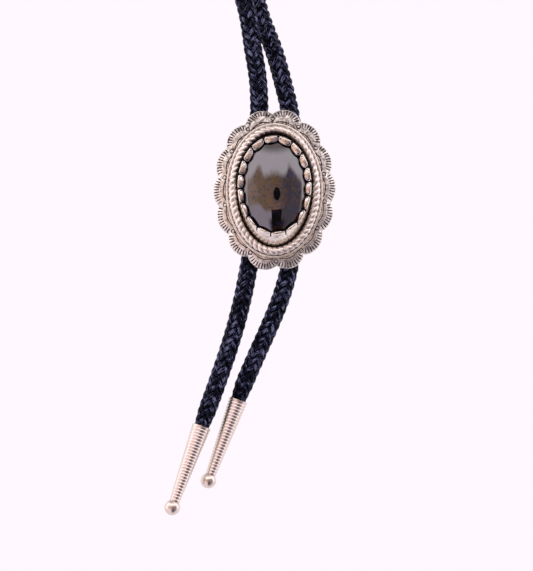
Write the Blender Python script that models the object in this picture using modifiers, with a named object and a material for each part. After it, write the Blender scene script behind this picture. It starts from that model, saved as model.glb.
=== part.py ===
"""A bolo tie: an oval slide with a set stone, on a braided neck cord with two metal tips.

Metres, +Z up, the slide's face towards -Y. The origin is the inner side of the neck loop at
the nape, where the tie hangs. The slide and the cords are laid out from the slide's centre,
which is the middle of the plate's rim, on the plane of its back.
"""

import math

import bmesh
import bpy
import numpy as np
from mathutils import Matrix, Vector

MM = 0.001

# Clearances
GAP = 0.3 * MM  # between two pieces that touch on the real tie
SOLDER = 0.4 * MM  # how deep one soldered piece sits in another
WELD = 0.003 * MM  # points of one mesh that are nearer than this are one point

# Cord
CORD_DIAMETER = 5.6 * MM
CORD_RIM_CLEARANCE = 0.4 * MM  # between the cord and the plane of the plate's rim
CORD_POINT_SPACING = 11.2 * MM
CORD_END_SHARE = 0.86  # of the cord's diameter, where it is pressed into a tip

# Scalloped plate
CREST_WIDTH = 39.3 * MM  # ellipse through the crests of the scallops
CREST_HEIGHT = 52.8 * MM
VALLEY_SHARE = 0.93  # ellipse through the valleys, as a share of the crests' one
SCALLOPS = 14
SCALLOP_TURN = -0.0045  # of the edge's length, clockwise, from the top to the first valley
POINTS_PER_SCALLOP = 8
PLATE_THICKNESS = 1.0 * MM
PLATE_RISE = 1.8 * MM  # how far the flat middle stands in front of the rim
PLATE_DOME_STEPS = 3

# Stone
STONE_WIDTH = 21.7 * MM
STONE_HEIGHT = 31.2 * MM
STONE_GIRDLE = 2.8 * MM  # height of the widest line over the plate
STONE_DOME = 4.8 * MM  # height of the dome over the girdle
STONE_FOOT_SHARE = 0.97  # of the girdle, at the flat bottom
STONE_DOME_STEPS = 6
STONE_SIDES = 48

# Bezel
BEZEL_WALL = 0.45 * MM
BEZEL_GRIP = 1.5 * MM  # how far the wall goes on over the girdle before it folds
BEZEL_SLOPE_SIDE = 0.06  # how far the wall leans in at the sides, as a share of its height
BEZEL_SLOPE_END = 0.56  # the same at the top and the bottom
BEZEL_CREST_RISE = 0.2 * MM  # the fold's highest line over the tips of the teeth
BEZEL_CREST_INSET = 0.35 * MM
BEZEL_DROP = 0.3 * MM  # how far the foot's centre stands below the plate's
BEZEL_LIFT = 0.43 * MM  # how far the rim's centre stands above the foot's
TEETH = 18
TOOTH_TURN = 0.25  # of a tooth, clockwise, from the top to the first notch
POINTS_PER_TOOTH = 7
TOOTH_REACH = 1.6 * MM  # from the wall's outer side to the tip of a folded tooth
TOOTH_NOTCH = 0.95 * MM  # the same, between two teeth
TOOTH_THICKNESS = 0.38 * MM

# Twisted rope and plain wire round the bezel
ROPE_DIAMETER = 2.7 * MM
ROPE_GAP_SIDE = 0.3 * MM  # between bezel and rope, at the sides
ROPE_GAP_END = 0.43 * MM  # the same at the top and the bottom, were both centred alike
ROPE_DROP = 0.6 * MM  # how far the centre of rope and wire stands below the plate's
ROPE_LAYS = 56  # crests of the two strands that show from the front
ROPE_STEPS_PER_LAY = 3
ROPE_SIDES = 8
ROPE_GROOVE_SHARE = 0.45  # depth of the groove between the strands, as a share of the radius
WIRE_DIAMETER = 0.9 * MM
WIRE_POINTS = 72
WIRE_OVERLAP = 0.1 * MM  # the wire's side runs into the rope's
FLAT_MARGIN = 0.15 * MM  # flat of the plate that shows outside the wire

# Clip on the slide's back
CLIP_LENGTH = 20.0 * MM
CLIP_TUBE_WALL = 0.8 * MM
CLIP_BASE_WIDTH = 17.0 * MM
CLIP_BASE_THICKNESS = 1.2 * MM
CLIP_SIDES = 28

# Tips
TIP_LENGTH = 30.0 * MM
TIP_MOUTH_DIAMETER = 6.1 * MM
TIP_NECK_DIAMETER = 3.3 * MM
TIP_BALL_DIAMETER = 4.7 * MM
TIP_RINGS = 26
TIP_RING_PITCH = 0.985 * MM
TIP_GROOVE = 0.12 * MM
TIP_NECK_SHARE = 0.62  # of the neck's diameter, in the groove above the ball
TIP_BALL_STEPS = 6
TIP_SOCKET_DEPTH = 6.3 * MM
TIP_SIDES = 14

# Routes of the cord's middle line, in millimetres: right and up from the slide's centre, and back
# from the cords' depth in the clip, which is between them. The ends of the three lengths meet in
# the clip, at the first and last points.
NECK_ROUTE = [
    (-6.1, 0.0, 0.15),
    (-6.1, 0.0, 6.0),
    (-6.1, 0.0, 12.0),
    (-5.3, 0.0, 20.0),
    (-4.9, 0.2, 26.5),
    (-5.3, 0.4, 36.2),
    (-6.8, 0.6, 46.0),
    (-9.3, 1.0, 60.7),
    (-15.6, 2.8, 78.0),
    (-24.5, 6.8, 97.5),
    (-35.5, 15.3, 116.5),
    (-47.5, 28.8, 137.0),
    (-58.5, 47.3, 158.0),
    (-66.0, 70.8, 180.0),
    (-68.8, 97.8, 200.0),
    (-65.8, 125.3, 216.5),
    (-55.5, 148.8, 228.5),
    (-39.5, 167.3, 236.0),
    (-20.5, 178.3, 240.0),
    (0.0, 181.8, 241.2),
    (20.5, 178.3, 240.0),
    (39.5, 167.3, 236.0),
    (55.5, 148.8, 228.5),
    (65.8, 125.3, 216.5),
    (68.8, 97.8, 200.0),
    (66.0, 70.8, 180.0),
    (58.5, 48.3, 159.5),
    (47.0, 33.3, 141.0),
    (32.0, 24.3, 125.5),
    (16.0, 18.3, 112.0),
    (3.0, 14.3, 98.5),
    (-4.5, 11.3, 85.0),
    (-6.8, 9.1, 73.0),
    (-5.0, 7.1, 60.7),
    (0.1, 4.6, 46.0),
    (2.7, 2.6, 36.2),
    (4.9, 1.0, 26.5),
    (5.8, 0.2, 19.5),
    (6.1, 0.0, 12.0),
    (6.1, 0.0, 6.0),
    (6.1, 0.0, 0.15),
]
NAPE_INDEX = 19  # the point of the neck route at the nape
LEFT_TAIL_ROUTE = [
    (-6.1, 0.0, -0.15),
    (-6.1, 0.0, -6.0),
    (-6.3, 0.0, -12.0),
    (-7.2, 0.0, -18.5),
    (-8.4, -0.1, -25.4),
    (-10.2, -0.2, -34.6),
    (-12.5, -0.4, -43.8),
    (-15.3, -0.6, -53.0),
    (-18.4, -0.8, -62.1),
    (-21.8, -1.0, -71.7),
    (-23.3, -1.1, -75.9),
]
RIGHT_TAIL_ROUTE = [
    (6.1, 0.0, -0.15),
    (6.1, 0.0, -6.0),
    (6.0, 0.0, -12.0),
    (5.5, 0.1, -18.5),
    (4.6, 0.2, -25.4),
    (2.0, 0.4, -34.6),
    (-1.7, 0.7, -43.8),
    (-5.8, 1.0, -53.0),
    (-9.9, 1.3, -62.6),
    (-11.6, 1.4, -67.2),
]

# Sizes that follow from the ones above
CORD_RADIUS = CORD_DIAMETER / 2
CORD_BACK = CORD_RADIUS + CORD_RIM_CLEARANCE  # depth of the cords' middle lines in the clip
PLATE_FACE = -(PLATE_RISE + PLATE_THICKNESS)  # Y of the flat middle's front
PLATE_BACK = -PLATE_RISE  # Y of the flat middle's back
ROPE_RADIUS = ROPE_DIAMETER / 2
WIRE_RADIUS = WIRE_DIAMETER / 2
BEZEL_SHOULDER = STONE_GIRDLE + BEZEL_GRIP  # height over the plate where the wall folds
CLIP_CORDS = {"left": LEFT_TAIL_ROUTE[0][0] * MM, "right": RIGHT_TAIL_ROUTE[0][0] * MM}
NAPE = Vector(NECK_ROUTE[NAPE_INDEX]) * MM + Vector((0.0, CORD_BACK, 0.0))
SLIDE_CENTRE = Vector((0.0, CORD_RADIUS, 0.0)) - NAPE

# How finely a curve is measured
ELLIPSE_STEPS = 2400
ROUTE_STEPS = 16  # between two points of a route


def clear_scene():
    for obj in list(bpy.data.objects):
        bpy.data.objects.remove(obj, do_unlink=True)


def new_collection(name):
    collection = bpy.data.collections.new(name)
    bpy.context.scene.collection.children.link(collection)
    return collection


def make_material(name, colour, roughness, metallic):
    material = bpy.data.materials.new(name)
    material.use_nodes = True
    shader = material.node_tree.nodes["Principled BSDF"]
    shader.inputs["Base Color"].default_value = (*colour, 1.0)
    shader.inputs["Roughness"].default_value = roughness
    shader.inputs["Metallic"].default_value = metallic
    return material


def add_object(name, data, collection, material=None):
    obj = bpy.data.objects.new(name, data)
    collection.objects.link(obj)
    obj.location = SLIDE_CENTRE
    if material:
        data.materials.append(material)
    return obj


def finish_mesh(bm, name, smooth_angle=math.radians(40)):
    """Turns a bmesh into a mesh whose faces point out, smooth but for its sharp edges."""
    bmesh.ops.recalc_face_normals(bm, faces=bm.faces)
    mesh = bpy.data.meshes.new(name)
    bm.to_mesh(mesh)
    bm.free()
    mesh.shade_smooth()
    mesh.set_sharp_from_angle(angle=smooth_angle)
    return mesh


def loft(name, rings, closed=False):
    """A skin through rings of as many points each: capped at both ends, or closed on itself."""
    bm = bmesh.new()
    loops = [[bm.verts.new(point) for point in ring] for ring in rings]
    count = len(loops[0])
    following = loops[1:] + loops[:1] if closed else loops[1:]
    for here, there in zip(loops, following):
        for i in range(count):
            j = (i + 1) % count
            bm.faces.new((here[i], here[j], there[j], there[i]))
    if not closed:
        bm.faces.new(loops[0])
        bm.faces.new(loops[-1])
    return finish_mesh(bm, name)


def ellipse(half_width, half_height, count, start=0.0):
    """Points an equal length apart on an upright ellipse, clockwise: X and Z.

    start is how far past the top the first one is, as a share of the ellipse's length.
    """
    fine = np.linspace(0.0, 2.0 * math.pi, ELLIPSE_STEPS + 1)
    x = half_width * np.sin(fine)
    z = half_height * np.cos(fine)
    length = np.concatenate([[0.0], np.cumsum(np.hypot(np.diff(x), np.diff(z)))])
    stations = np.linspace(0.0, length[-1], count, endpoint=False) + start * length[-1]
    angles = np.interp(np.mod(stations, length[-1]), length, fine)
    return [(half_width * math.sin(a), half_height * math.cos(a)) for a in angles]


def arc_through(start, crest, end, steps):
    """Points on the circle through three, from the first up to but not including the last."""
    ax, az = start
    bx, bz = crest
    cx, cz = end
    d = 2 * (ax * (bz - cz) + bx * (cz - az) + cx * (az - bz))
    a2, b2, c2 = ax * ax + az * az, bx * bx + bz * bz, cx * cx + cz * cz
    ox = (a2 * (bz - cz) + b2 * (cz - az) + c2 * (az - bz)) / d
    oz = (a2 * (cx - bx) + b2 * (ax - cx) + c2 * (bx - ax)) / d
    radius = math.hypot(ax - ox, az - oz)
    first = math.atan2(az - oz, ax - ox)
    sweep = math.atan2(cz - oz, cx - ox) - first
    sweep = (sweep + math.pi) % (2 * math.pi) - math.pi
    angles = [first + sweep * i / steps for i in range(steps)]
    return [(ox + radius * math.cos(a), oz + radius * math.sin(a)) for a in angles]


def scalloped_outline():
    """The plate's edge: arcs from valley to valley, with a valley near the top and one near the bottom."""
    half_width, half_height = CREST_WIDTH / 2, CREST_HEIGHT / 2
    ring = ellipse(half_width, half_height, 2 * SCALLOPS, SCALLOP_TURN)
    points = []
    for i in range(SCALLOPS):
        x0, z0 = ring[2 * i]
        x1, z1 = ring[(2 * i + 2) % len(ring)]
        start = (x0 * VALLEY_SHARE, z0 * VALLEY_SHARE)
        end = (x1 * VALLEY_SHARE, z1 * VALLEY_SHARE)
        points += arc_through(start, ring[2 * i + 1], end, POINTS_PER_SCALLOP)
    return points


def bezel_outer(height):
    """Half width and half height of the bezel wall's outer side at a height over the plate."""
    rise = STONE_GIRDLE - min(height, BEZEL_SHOULDER)
    seat = GAP + BEZEL_WALL
    return (
        STONE_WIDTH / 2 + seat + BEZEL_SLOPE_SIDE * rise,
        STONE_HEIGHT / 2 + seat + BEZEL_SLOPE_END * rise,
    )


def bezel_centre(height):
    """How far the bezel's middle stands above the slide's at a height over the plate."""
    return BEZEL_LIFT * min(height, BEZEL_SHOULDER) / BEZEL_SHOULDER - BEZEL_DROP


def dome_radius():
    """Radius of the stone's dome, as it is seen from its narrow end."""
    half = STONE_WIDTH / 2
    return (half * half + STONE_DOME * STONE_DOME) / (2 * STONE_DOME)


def dome_height(share):
    """Height of the dome over the plate, at a share of the way out from its middle."""
    radius = dome_radius()
    out = share * STONE_WIDTH / 2
    return STONE_GIRDLE + STONE_DOME - radius + math.sqrt(radius * radius - out * out)


def tooth_underside():
    """Height of the folded teeth's underside: a gap above the stone at their tips."""
    side, end = bezel_outer(BEZEL_SHOULDER)
    drift = bezel_centre(BEZEL_SHOULDER) - bezel_centre(STONE_GIRDLE)
    side_share = (side - TOOTH_REACH) / (STONE_WIDTH / 2)
    end_share = (end - TOOTH_REACH - drift) / (STONE_HEIGHT / 2)
    return dome_height(min(side_share, end_share)) + GAP


def rope_middle():
    """Half width and half height of the rope's middle line."""
    foot = bezel_outer(0.0)
    return (foot[0] + ROPE_GAP_SIDE + ROPE_RADIUS, foot[1] + ROPE_GAP_END + ROPE_RADIUS)


def wire_middle():
    """Half width and half height of the plain wire's middle line."""
    step = ROPE_RADIUS + WIRE_RADIUS - WIRE_OVERLAP
    return tuple(half + step for half in rope_middle())


def plate_mesh():
    """The domed plate: its scalloped rim rises over a few steps to the flat oval middle."""
    rim = scalloped_outline()
    flat_halves = [half + WIRE_RADIUS + FLAT_MARGIN for half in wire_middle()]
    flat = [(x, z - ROPE_DROP) for x, z in ellipse(*flat_halves, len(rim), SCALLOP_TURN)]
    shares = [i / PLATE_DOME_STEPS for i in range(PLATE_DOME_STEPS + 1)]

    def ring(share, front):
        y = -PLATE_RISE * math.sin(share * math.pi / 2) - front
        return [
            (a[0] + (b[0] - a[0]) * share, y, a[1] + (b[1] - a[1]) * share)
            for a, b in zip(rim, flat)
        ]

    back = [ring(share, 0.0) for share in reversed(shares)]
    front = [ring(share, PLATE_THICKNESS) for share in shares]
    return loft("plate", back + front)


def bezel_mesh():
    """The cup round the stone: a wall that leans in, its rim cut into teeth and folded over."""
    count = TEETH * POINTS_PER_TOOTH
    notch = TOOTH_REACH - TOOTH_NOTCH
    under = tooth_underside()
    top = under + TOOTH_THICKNESS

    def ring(height, inset, notched=0.0):
        halves = bezel_outer(height)
        centre = bezel_centre(height)
        points = []
        for i, (x, z) in enumerate(ellipse(*halves, count, TOOTH_TURN / TEETH)):
            phase = math.pi * i / POINTS_PER_TOOTH
            pull = inset - notched * (1.0 - abs(math.sin(phase)))
            shrink = 1.0 - pull / math.hypot(x, z)
            points.append((x * shrink, PLATE_FACE - height, z * shrink + centre))
        return points

    return loft(
        "bezel",
        [
            ring(-SOLDER, 0.0),
            ring(BEZEL_SHOULDER, 0.0),
            ring(top + BEZEL_CREST_RISE, BEZEL_CREST_INSET),
            ring(top, TOOTH_REACH, notch),
            ring(under, TOOTH_REACH, notch),
            ring(under - GAP, BEZEL_WALL),
            ring(-SOLDER, BEZEL_WALL),
        ],
        closed=True,
    )


def rope_mesh():
    """Two strands laid round each other: an eight-shaped section that turns along the oval."""
    count = ROPE_LAYS * ROPE_STEPS_PER_LAY
    middle = ellipse(*rope_middle(), count)
    height = ROPE_RADIUS * (1.0 - ROPE_GROOVE_SHARE)
    y = PLATE_FACE - height + SOLDER / 2
    rings = []
    for i, (x, z) in enumerate(middle):
        before, after = middle[i - 1], middle[(i + 1) % count]
        along = Vector((after[0] - before[0], 0.0, after[1] - before[1])).normalized()
        outward = along.cross(Vector((0.0, 1.0, 0.0)))
        forward = Vector((0.0, -1.0, 0.0))
        turn = math.pi * i / ROPE_STEPS_PER_LAY
        ring = []
        for k in range(ROPE_SIDES):
            angle = 2 * math.pi * k / ROPE_SIDES
            groove = (1 - math.cos(2 * (angle - turn))) / 2
            radius = ROPE_RADIUS * (1 - ROPE_GROOVE_SHARE * groove)
            offset = outward * math.cos(angle) + forward * math.sin(angle)
            ring.append(Vector((x, y, z - ROPE_DROP)) + offset * radius)
        rings.append(ring)
    return loft("rope", rings, closed=True)


def wire_mesh():
    """The plain round wire outside the rope."""
    middle = ellipse(*wire_middle(), WIRE_POINTS)
    points = [(x, PLATE_FACE, z - ROPE_DROP) for x, z in middle]
    return tube_mesh("wire", points, WIRE_RADIUS, cyclic=True)


def tube_curve(name, points, radius, cyclic=False, end_shares=None):
    """A round tube along a row of points, its radius at each one a share of the whole."""
    curve = bpy.data.curves.new(name, "CURVE")
    curve.dimensions = "3D"
    curve.bevel_depth = radius
    curve.bevel_resolution = 2
    curve.use_fill_caps = True
    spline = curve.splines.new("POLY")
    spline.points.add(len(points) - 1)
    for i, point in enumerate(points):
        spline.points[i].co = (*point, 1.0)
        if end_shares:
            spline.points[i].radius = end_shares[i]
    spline.use_cyclic_u = cyclic
    return curve


def tube_mesh(name, points, radius, cyclic=False):
    """The same tube as a closed mesh."""
    curve = tube_curve(name, points, radius, cyclic)
    guide = bpy.data.objects.new(name, curve)
    bpy.context.scene.collection.objects.link(guide)
    evaluated = guide.evaluated_get(bpy.context.evaluated_depsgraph_get())
    mesh = bpy.data.meshes.new_from_object(evaluated)
    bpy.data.objects.remove(guide, do_unlink=True)
    bm = bmesh.new()
    bm.from_mesh(mesh)
    bmesh.ops.remove_doubles(bm, verts=bm.verts, dist=WELD)
    bpy.data.meshes.remove(mesh)
    return finish_mesh(bm, name)


def add_boolean(target, tool, operation):
    tool.hide_render = True
    tool.display_type = "WIRE"
    modifier = target.modifiers.new(f"{operation.lower()}_{tool.name}", "BOOLEAN")
    modifier.operation = operation
    modifier.solver = "EXACT"
    modifier.object = tool


def make_setting(collection, cutters, metal):
    """Plate, plain wire, rope and bezel, soldered into one."""
    setting = add_object("slide_setting", plate_mesh(), collection, metal)
    for name, mesh in (("wire", wire_mesh()), ("rope", rope_mesh()), ("bezel", bezel_mesh())):
        add_boolean(setting, add_object(f"{name}_tool", mesh, cutters), "UNION")
    return setting


def turned(name, profile, sides, collection, material):
    """A profile of radius and height, run down its outer side, turned about its own Z."""
    bm = bmesh.new()
    verts = [bm.verts.new((radius, 0.0, height)) for radius, height in profile]
    for a, b in zip(verts, verts[1:]):
        bm.edges.new((a, b))
    mesh = bpy.data.meshes.new(name)
    bm.to_mesh(mesh)
    bm.free()
    obj = add_object(name, mesh, collection, material)
    screw = obj.modifiers.new("turn", "SCREW")
    screw.steps = sides
    screw.render_steps = sides
    screw.use_merge_vertices = True
    screw.merge_threshold = WELD
    return obj


def make_stone(collection, material):
    """The oval cabochon: a straight foot below the girdle and a round dome above it."""
    half = STONE_WIDTH / 2
    dome_angle = math.asin(half / dome_radius())
    profile = []
    for i in range(STONE_DOME_STEPS + 1):
        share = math.sin(dome_angle * i / STONE_DOME_STEPS) / math.sin(dome_angle)
        profile.append((half * share, dome_height(share)))
    profile.append((half * STONE_FOOT_SHARE, GAP))
    profile.append((0.0, GAP))
    stone = turned("stone", profile, STONE_SIDES, collection, material)
    stone.location = SLIDE_CENTRE + Vector((0.0, PLATE_FACE, bezel_centre(STONE_GIRDLE)))
    stone.rotation_euler = (math.radians(90), 0.0, 0.0)
    stone.scale = (1.0, STONE_HEIGHT / STONE_WIDTH, 1.0)
    return stone


def cylinder_mesh(name, radius, length, x):
    """An upright cylinder round a cord in the clip, centred on the slide's height."""
    bm = bmesh.new()
    bmesh.ops.create_cone(
        bm,
        cap_ends=True,
        segments=CLIP_SIDES,
        radius1=radius,
        radius2=radius,
        depth=length,
        matrix=Matrix.Translation((x, CORD_BACK, 0.0)),
    )
    return finish_mesh(bm, name)


def make_clip(collection, cutters, metal):
    """The clip behind the plate: a flat base with a tube for each cord."""
    base_front = PLATE_BACK + GAP
    bm = bmesh.new()
    size = Matrix.Diagonal((CLIP_BASE_WIDTH, CLIP_BASE_THICKNESS, CLIP_LENGTH, 1.0))
    place = Matrix.Translation((0.0, base_front + CLIP_BASE_THICKNESS / 2, 0.0))
    bmesh.ops.create_cube(bm, size=1.0, matrix=place @ size)
    clip = add_object("cord_clip", finish_mesh(bm, "cord_clip"), collection, metal)
    bore = CORD_RADIUS + GAP
    for side, x in CLIP_CORDS.items():
        tube = cylinder_mesh(f"tube_{side}", bore + CLIP_TUBE_WALL, CLIP_LENGTH, x)
        add_boolean(clip, add_object(f"tube_{side}_tool", tube, cutters), "UNION")
    for side, x in CLIP_CORDS.items():
        hole = cylinder_mesh(f"bore_{side}", bore, CLIP_LENGTH * 2, x)
        add_boolean(clip, add_object(f"bore_{side}_tool", hole, cutters), "DIFFERENCE")
    return clip


def smooth_route(route, spacing, straight_end=0.0):
    """Points a length apart on the smooth curve through a route's own points, in metres.

    straight_end is how far the cord runs on past the last point, into its tip.
    """
    depth = Vector((0.0, CORD_BACK, 0.0))
    points = [Vector(p) * MM + depth for p in route]
    padded = [points[0] * 2 - points[1]] + points + [points[-1] * 2 - points[-2]]
    fine = []
    for i in range(1, len(padded) - 2):
        a, b, c, d = padded[i - 1 : i + 3]
        t1 = (b - a).length ** 0.5
        t2 = t1 + (c - b).length ** 0.5
        t3 = t2 + (d - c).length ** 0.5
        for k in range(ROUTE_STEPS):
            share = k / ROUTE_STEPS
            t = t1 + (t2 - t1) * share
            ab = a.lerp(b, t / t1)
            bc = b.lerp(c, share)
            cd = c.lerp(d, (t - t2) / (t3 - t2))
            abc = ab.lerp(bc, t / t2)
            bcd = bc.lerp(cd, (t - t1) / (t3 - t1))
            fine.append(abc.lerp(bcd, share))
    fine.append(points[-1])
    steps = np.array([(q - p).length for p, q in zip(fine, fine[1:])])
    length = np.concatenate([[0.0], np.cumsum(steps)])
    count = max(2, math.ceil(length[-1] / spacing))
    stations = np.linspace(0.0, length[-1], count + 1)
    columns = [np.interp(stations, length, [p[axis] for p in fine]) for axis in range(3)]
    sampled = [Vector(p) for p in zip(*columns)]
    if straight_end:
        sampled.append(sampled[-1] + (points[-1] - points[-2]).normalized() * straight_end)
    return sampled


def make_tail(side, route, collection, cord, metal):
    """One free end of the cord and the turned tip that it is pressed into."""
    in_socket = TIP_SOCKET_DEPTH - GAP
    points = smooth_route(route, CORD_POINT_SPACING, in_socket)
    shares = [1.0] * (len(points) - 2) + [CORD_END_SHARE] * 2
    tail_curve = tube_curve(f"tail_cord_{side}", points, CORD_RADIUS, end_shares=shares)
    tail = add_object(f"tail_cord_{side}", tail_curve, collection, cord)
    tip = turned(f"tip_{side}", tip_profile(), TIP_SIDES, collection, metal)
    mouth = points[-2]
    down = (points[-1] - mouth).normalized()
    tip.location = SLIDE_CENTRE + mouth
    tip.rotation_euler = Vector((0.0, 0.0, -1.0)).rotation_difference(down).to_euler()
    return tail, tip


def tip_profile():
    """The tip from the bottom of its socket up to the mouth and down over the rings and ball."""
    socket = CORD_RADIUS * CORD_END_SHARE + GAP
    mouth = TIP_MOUTH_DIAMETER / 2
    neck = TIP_NECK_DIAMETER / 2
    ball = TIP_BALL_DIAMETER / 2
    ringed = TIP_RINGS * TIP_RING_PITCH
    profile = [(0.0, -TIP_SOCKET_DEPTH), (socket, -TIP_SOCKET_DEPTH), (socket, 0.0)]
    for i in range(TIP_RINGS):
        for share, depth in ((0.0, TIP_GROOVE), (0.5, 0.0)):
            fall = (i + share) * TIP_RING_PITCH
            profile.append((mouth + (neck - mouth) * fall / ringed - depth, -fall))
    waist = neck * TIP_NECK_SHARE
    profile.append((neck - TIP_GROOVE, -ringed))
    ball_centre = TIP_LENGTH - ball
    first_angle = math.pi - math.asin(waist / ball)
    for i in range(TIP_BALL_STEPS + 1):
        angle = first_angle * (1 - i / TIP_BALL_STEPS)
        profile.append((ball * math.sin(angle), -(ball_centre + ball * math.cos(angle))))
    return profile


def main():
    clear_scene()
    collection = new_collection("bolo_tie")
    cutters = new_collection("bolo_tie_cutters")
    metal = make_material("antique_silver", (0.72, 0.67, 0.6), 0.28, 1.0)
    bright = make_material("bright_nickel", (0.82, 0.76, 0.7), 0.16, 1.0)
    dark_stone = make_material("dark_stone", (0.035, 0.026, 0.024), 0.04, 0.0)
    cord = make_material("black_braid", (0.012, 0.013, 0.024), 0.6, 0.0)

    make_setting(collection, cutters, metal)
    make_stone(collection, dark_stone)
    make_clip(collection, cutters, metal)
    neck = tube_curve("neck_cord", smooth_route(NECK_ROUTE, CORD_POINT_SPACING), CORD_RADIUS)
    add_object("neck_cord", neck, collection, cord)
    make_tail("left", LEFT_TAIL_ROUTE, collection, cord, bright)
    make_tail("right", RIGHT_TAIL_ROUTE, collection, cord, bright)


main()
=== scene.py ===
import math

import bmesh
import bpy
import numpy as np
from mathutils import Matrix, Vector


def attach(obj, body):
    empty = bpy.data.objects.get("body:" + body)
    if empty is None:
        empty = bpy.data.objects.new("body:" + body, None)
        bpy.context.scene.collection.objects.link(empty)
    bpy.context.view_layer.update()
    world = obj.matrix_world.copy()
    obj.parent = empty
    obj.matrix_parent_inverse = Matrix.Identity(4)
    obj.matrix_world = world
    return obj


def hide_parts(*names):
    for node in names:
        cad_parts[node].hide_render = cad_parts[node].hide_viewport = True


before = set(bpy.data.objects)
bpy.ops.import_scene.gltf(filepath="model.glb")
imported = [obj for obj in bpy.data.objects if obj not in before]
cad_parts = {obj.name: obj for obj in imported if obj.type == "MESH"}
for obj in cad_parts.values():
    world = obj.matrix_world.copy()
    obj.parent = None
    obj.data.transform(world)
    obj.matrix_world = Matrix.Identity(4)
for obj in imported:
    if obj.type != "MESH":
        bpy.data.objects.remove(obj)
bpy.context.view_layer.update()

MM = 0.001
TAU = 2.0 * math.pi

# The slide's centre, in metres: the middle of the plate's rim, on the plane of its back.
# Places in millimetres are measured from there: X right, Y back, Z up.
SLIDE_CENTRE = Vector((0.0, -0.1822, -0.2412))
FORWARD = np.array((0.0, -1.0, 0.0))
WELD = 1e-7  # points of one mesh that are nearer than this are one point
ELLIPSE_POINTS = 4801  # that an ellipse's length is measured with

# Camera, in metres
FRAME_HEIGHT = 0.18272  # of the picture, at the slide
CAMERA_DISTANCE = 1.2
CAMERA_ELEVATION = math.radians(-6.5)
CAMERA_AIM = Vector((-0.00256, 0.0, -0.03086))
TO_CAMERA = Vector((0.0, -math.cos(CAMERA_ELEVATION), math.sin(CAMERA_ELEVATION)))
SENSOR = 36.0

# Cord: its thickness and the free ends' lengths in metres, the rest in millimetres. The routes'
# points go back from the cords' own depth behind the slide's centre.
CORD_BACK = 3.2
SOCKET_STRETCH = 6.0  # of the cord, inside a tip
TAPER_START = 12.5  # before the cord's end
CORD_MOUTH_SHARE = 0.84  # of the full thickness, at the socket's mouth
CORD_END_SHARE = 0.72
NECK_ROUTE = [
    (-6.1, 0.0, 0.15), (-6.1, 0.0, 6.0), (-6.1, 0.0, 12.0), (-5.3, 0.0, 20.0),
    (-4.9, 0.2, 26.5), (-5.3, 0.4, 36.2), (-6.8, 0.6, 46.0), (-9.3, 1.0, 60.7),
    (-15.6, 2.8, 78.0), (-24.5, 6.8, 97.5), (-35.5, 15.3, 116.5), (-47.5, 28.8, 137.0),
    (-58.5, 47.3, 158.0), (-66.0, 70.8, 180.0), (-68.8, 97.8, 200.0), (-65.8, 125.3, 216.5),
    (-55.5, 148.8, 228.5), (-39.5, 167.3, 236.0), (-20.5, 178.3, 240.0), (0.0, 181.8, 241.2),
    (20.5, 178.3, 240.0), (39.5, 167.3, 236.0), (55.5, 148.8, 228.5), (65.8, 125.3, 216.5),
    (68.8, 97.8, 200.0), (66.0, 70.8, 180.0), (58.5, 48.3, 159.5), (47.0, 33.3, 141.0),
    (32.0, 24.3, 125.5), (16.0, 18.3, 112.0), (3.0, 14.3, 98.5), (-4.5, 11.3, 85.0),
    (-6.8, 9.1, 73.0), (-5.0, 7.1, 60.7), (0.1, 4.6, 46.0), (2.7, 2.6, 36.2),
    (4.9, 1.0, 26.5), (5.8, 0.2, 19.5), (6.1, 0.0, 12.0), (6.1, 0.0, 6.0),
    (6.1, 0.0, 0.15),
]
TAIL_ROUTES = {
    "left": [
        (-6.1, 0.0, -0.15), (-6.1, 0.0, -6.0), (-6.3, 0.0, -12.0), (-7.2, 0.0, -18.5),
        (-8.4, -0.1, -25.4), (-10.2, -0.2, -34.6), (-12.5, -0.4, -43.8), (-15.3, -0.6, -53.0),
        (-18.4, -0.8, -62.1), (-21.8, -1.0, -71.7), (-23.3, -1.1, -75.9),
    ],
    "right": [
        (6.1, 0.0, -0.15), (6.1, 0.0, -6.0), (6.0, 0.0, -12.0), (5.5, 0.1, -18.5),
        (4.6, 0.2, -25.4), (2.0, 0.4, -34.6), (-1.7, 0.7, -43.8), (-5.8, 1.0, -53.0),
        (-9.9, 1.3, -62.6), (-11.6, 1.4, -67.2),
    ],
}
ROUTE_STEPS = 40

# Braid of the cord, in millimetres
CARRIERS = 8
BRAID_LEAD = 21.6
BRAID_RADIUS = 2.36
BRAID_WAVE = 0.33
STRAND_HALF_WIDTH = 0.66
STRAND_HALF_HEIGHT = 0.4
STRAND_SIDES = 6
STATION = 0.54
STRAND_UV_WIDTH = 3.0  # round a strand, where the length along it is in millimetres
CORE_RADIUS = 2.05
CORE_SIDES = 12
CORE_STEP = 4  # stations of a strand to one of the core
MOST_END_SIDES = 16  # an open end with up to so many sides is closed

# Scalloped plate, in millimetres. The edge's section gives insets and depths from its back.
CREST_WIDTH = 39.3
CREST_HEIGHT = 52.8
VALLEY_SHARE = 0.93
SCALLOPS = 14
SCALLOP_TURN = -0.0045  # of the way round, clockwise
COLUMNS_PER_SCALLOP = 90
PLATE_THICKNESS = 1.0
PLATE_RISE = 1.8
PLATE_FACE = -2.8
FLAT_HALVES = (15.75, 22.05)
ROPE_DROP = 0.6  # of the rope, the wire and the flat oval, below the rim's middle
BACK_SHARES = (1.0, 0.75, 0.5, 0.25, 0.1)  # of the way from the rim to the flat
EDGE_SECTION = ((0.25, 0.0), (0.07, 0.07), (0.0, 0.25), (0.0, 0.7), (0.06, 0.9), (0.18, 0.98))
FRONT_INSET = 0.3
FRONT_ROWS = 50
HIDDEN_SCALES = (0.985, 0.9, 0.8, 0.7, 0.35, 0.0)  # of the flat oval, under the wire and the cup
TICKS = 10
TICK_MARGIN = 0.22
TICK_LENGTH = 1.75
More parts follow.
